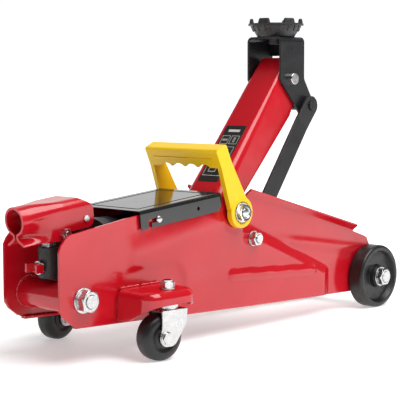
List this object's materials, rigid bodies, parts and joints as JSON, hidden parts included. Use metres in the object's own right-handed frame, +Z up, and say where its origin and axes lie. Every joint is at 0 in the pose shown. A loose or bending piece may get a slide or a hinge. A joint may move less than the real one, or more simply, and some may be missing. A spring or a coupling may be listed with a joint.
{
  "type": "hydraulic floor jack",
  "caption": "Low-profile trolley jack with a hydraulic lifting arm, level saddle, handle socket, carry handle, front wheels and rear swivel casters.",
  "frame": {"origin": "on the floor, below the middle of the jack's overall box", "axes": "+X forwards towards the front wheels, +Y to the jack's left, +Z up"},
  "size_m": [0.5178, 0.1794, 0.3266],
  "materials": {
    "red_paint": "gloss enamel",
    "black_paint": "semi-gloss powder coat",
    "black_steel": "black oxide",
    "zinc_steel": "bright zinc plate",
    "bright_steel": "ground steel",
    "chromed_steel": "hard chrome",
    "black_cast_iron": "painted casting",
    "dark_cast_iron": "dark phosphated casting",
    "yellow_plastic": "moulded satin",
    "black_wheel": "moulded nylon",
    "black_rubber": "moulded rubber",
    "label_film": "satin printed film"
  },
  "bodies": {
    "frame": {"left_side_plate": "red_paint", "right_side_plate": "red_paint", "rear_cross_tube": "red_paint", "rear_bolt": "zinc_steel", "rear_nuts": "zinc_steel", "front_axle": "zinc_steel", "front_spacer_tube": "zinc_steel", "front_axle_nuts": "zinc_steel", "left_caster_bracket": "red_paint", "right_caster_bracket": "red_paint", "caster_stems": "zinc_steel", "caster_stem_nuts": "zinc_steel", "top_cover": "black_paint", "cover_screws": "black_steel", "power_unit_block": "black_cast_iron", "reservoir_tube": "black_paint", "lift_cylinder": "bright_steel", "cylinder_end_nut": "zinc_steel", "oil_filler_plug": "black_rubber", "plunger_spring": "bright_steel", "arm_pivot_shaft": "zinc_steel", "pivot_shaft_caps": "zinc_steel", "arm_bushes": "red_paint", "tie_rod_bolts": "zinc_steel", "tie_rod_nuts": "zinc_steel"},
    "lift_arm": {"lift_arm": "red_paint", "lever_pin": "bright_steel", "arm_label": "label_film"},
    "saddle_bracket": {"saddle_bracket": "black_paint", "arm_pin": "zinc_steel", "tie_rod_pin": "black_steel"},
    "saddle": {"saddle": "dark_cast_iron"},
    "tie_rods": {"left_tie_rod": "black_paint", "right_tie_rod": "black_paint"},
    "ram": {"ram": "chromed_steel", "ram_crosshead": "black_cast_iron"},
    "handle_socket": {"handle_socket": "red_paint", "socket_pivot_pin": "zinc_steel", "roller_bolt": "zinc_steel", "pump_roller": "bright_steel"},
    "pump_plunger": {"pump_plunger": "chromed_steel"},
    "release_valve": {"release_valve": "zinc_steel", "release_yoke": "red_paint"},
    "carry_handle": {"carry_handle": "yellow_plastic"},
    "left_front_wheel": {"left_front_wheel": "black_wheel"},
    "right_front_wheel": {"right_front_wheel": "black_wheel"},
    "left_caster_fork": {"left_caster_fork": "zinc_steel", "left_caster_axle": "zinc_steel"},
    "left_caster_wheel": {"left_caster_wheel": "black_wheel"},
    "right_caster_fork": {"right_caster_fork": "zinc_steel", "right_caster_axle": "zinc_steel"},
    "right_caster_wheel": {"right_caster_wheel": "black_wheel"}
  },
  "joints": [
    {"name": "arm_lift", "type": "hinge", "parent": "frame", "child": "lift_arm", "pos_m": [-0.00824, 0, 0.126], "axis": [0, 1, 0], "range_deg": [0, 69.7]},
    {"name": "bracket_level", "type": "hinge", "parent": "lift_arm", "child": "saddle_bracket", "pos_m": [0.1026, 0, 0.26142], "axis": [0, 1, 0], "range_deg": [-69.8, 0.1]},
    {"name": "tie_rod_swing", "type": "hinge", "parent": "frame", "child": "tie_rods", "pos_m": [0.01816, 0, 0.0967], "axis": [0, 1, 0], "range_deg": [-0.1, 69.8]},
    {"name": "ram_stroke", "type": "slide", "parent": "frame", "child": "ram", "axis": [1, 0, 0], "range_m": [-0.03906, 0.0002]},
    {"name": "saddle_turn", "type": "hinge", "parent": "saddle_bracket", "child": "saddle", "pos_m": [0.10475, 0, 0.32142], "axis": [0, 0, 1], "continuous": true},
    {"name": "handle_pump", "type": "hinge", "parent": "frame", "child": "handle_socket", "pos_m": [-0.19024, 0, 0.132], "axis": [0, 1, 0], "range_deg": [0, 42]},
    {"name": "plunger_stroke", "type": "slide", "parent": "frame", "child": "pump_plunger", "axis": [0, 0, 1], "range_m": [-0.0002, 0.02068], "deforming": ["plunger_spring"]},
    {"name": "valve_turn", "type": "hinge", "parent": "frame", "child": "release_valve", "pos_m": [-0.22754, 0, 0.088], "axis": [1, 0, 0], "range_deg": [0, 180]},
    {"name": "carry_handle_swing", "type": "hinge", "parent": "frame", "child": "carry_handle", "pos_m": [-0.00824, 0, 0.126], "axis": [0, 1, 0], "range_deg": [-34, 38]},
    {"name": "left_front_wheel_spin", "type": "hinge", "parent": "frame", "child": "left_front_wheel", "pos_m": [0.22316, 0.0476, 0.0357], "axis": [0, 1, 0], "continuous": true},
    {"name": "right_front_wheel_spin", "type": "hinge", "parent": "frame", "child": "right_front_wheel", "pos_m": [0.22316, -0.0476, 0.0357], "axis": [0, 1, 0], "continuous": true},
    {"name": "left_caster_swivel", "type": "hinge", "parent": "frame", "child": "left_caster_fork", "pos_m": [-0.13824, 0.07501, 0.0488], "axis": [0, 0, 1], "continuous": true},
    {"name": "left_caster_spin", "type": "hinge", "parent": "left_caster_fork", "child": "left_caster_wheel", "pos_m": [-0.14815, 0.07362, 0.0224], "axis": [-0.1392, 0.9903, 0], "continuous": true},
    {"name": "right_caster_swivel", "type": "hinge", "parent": "frame", "child": "right_caster_fork", "pos_m": [-0.13824, -0.07501, 0.0488], "axis": [0, 0, 1], "continuous": true},
    {"name": "right_caster_spin", "type": "hinge", "parent": "right_caster_fork", "child": "right_caster_wheel", "pos_m": [-0.14815, -0.07362, 0.0224], "axis": [0.1392, 0.9903, 0], "continuous": true}
  ],
  "couplings": [
    {"joint": "bracket_level", "follows": "arm_lift", "ratio": -1},
    {"joint": "tie_rod_swing", "follows": "arm_lift", "ratio": 1},
    {"joint": "ram_stroke", "follows": "arm_lift", "m_per_rad": -0.031942},
    {"joint": "plunger_stroke", "follows": "handle_pump", "m_per_rad": 0.027938}
  ]
}
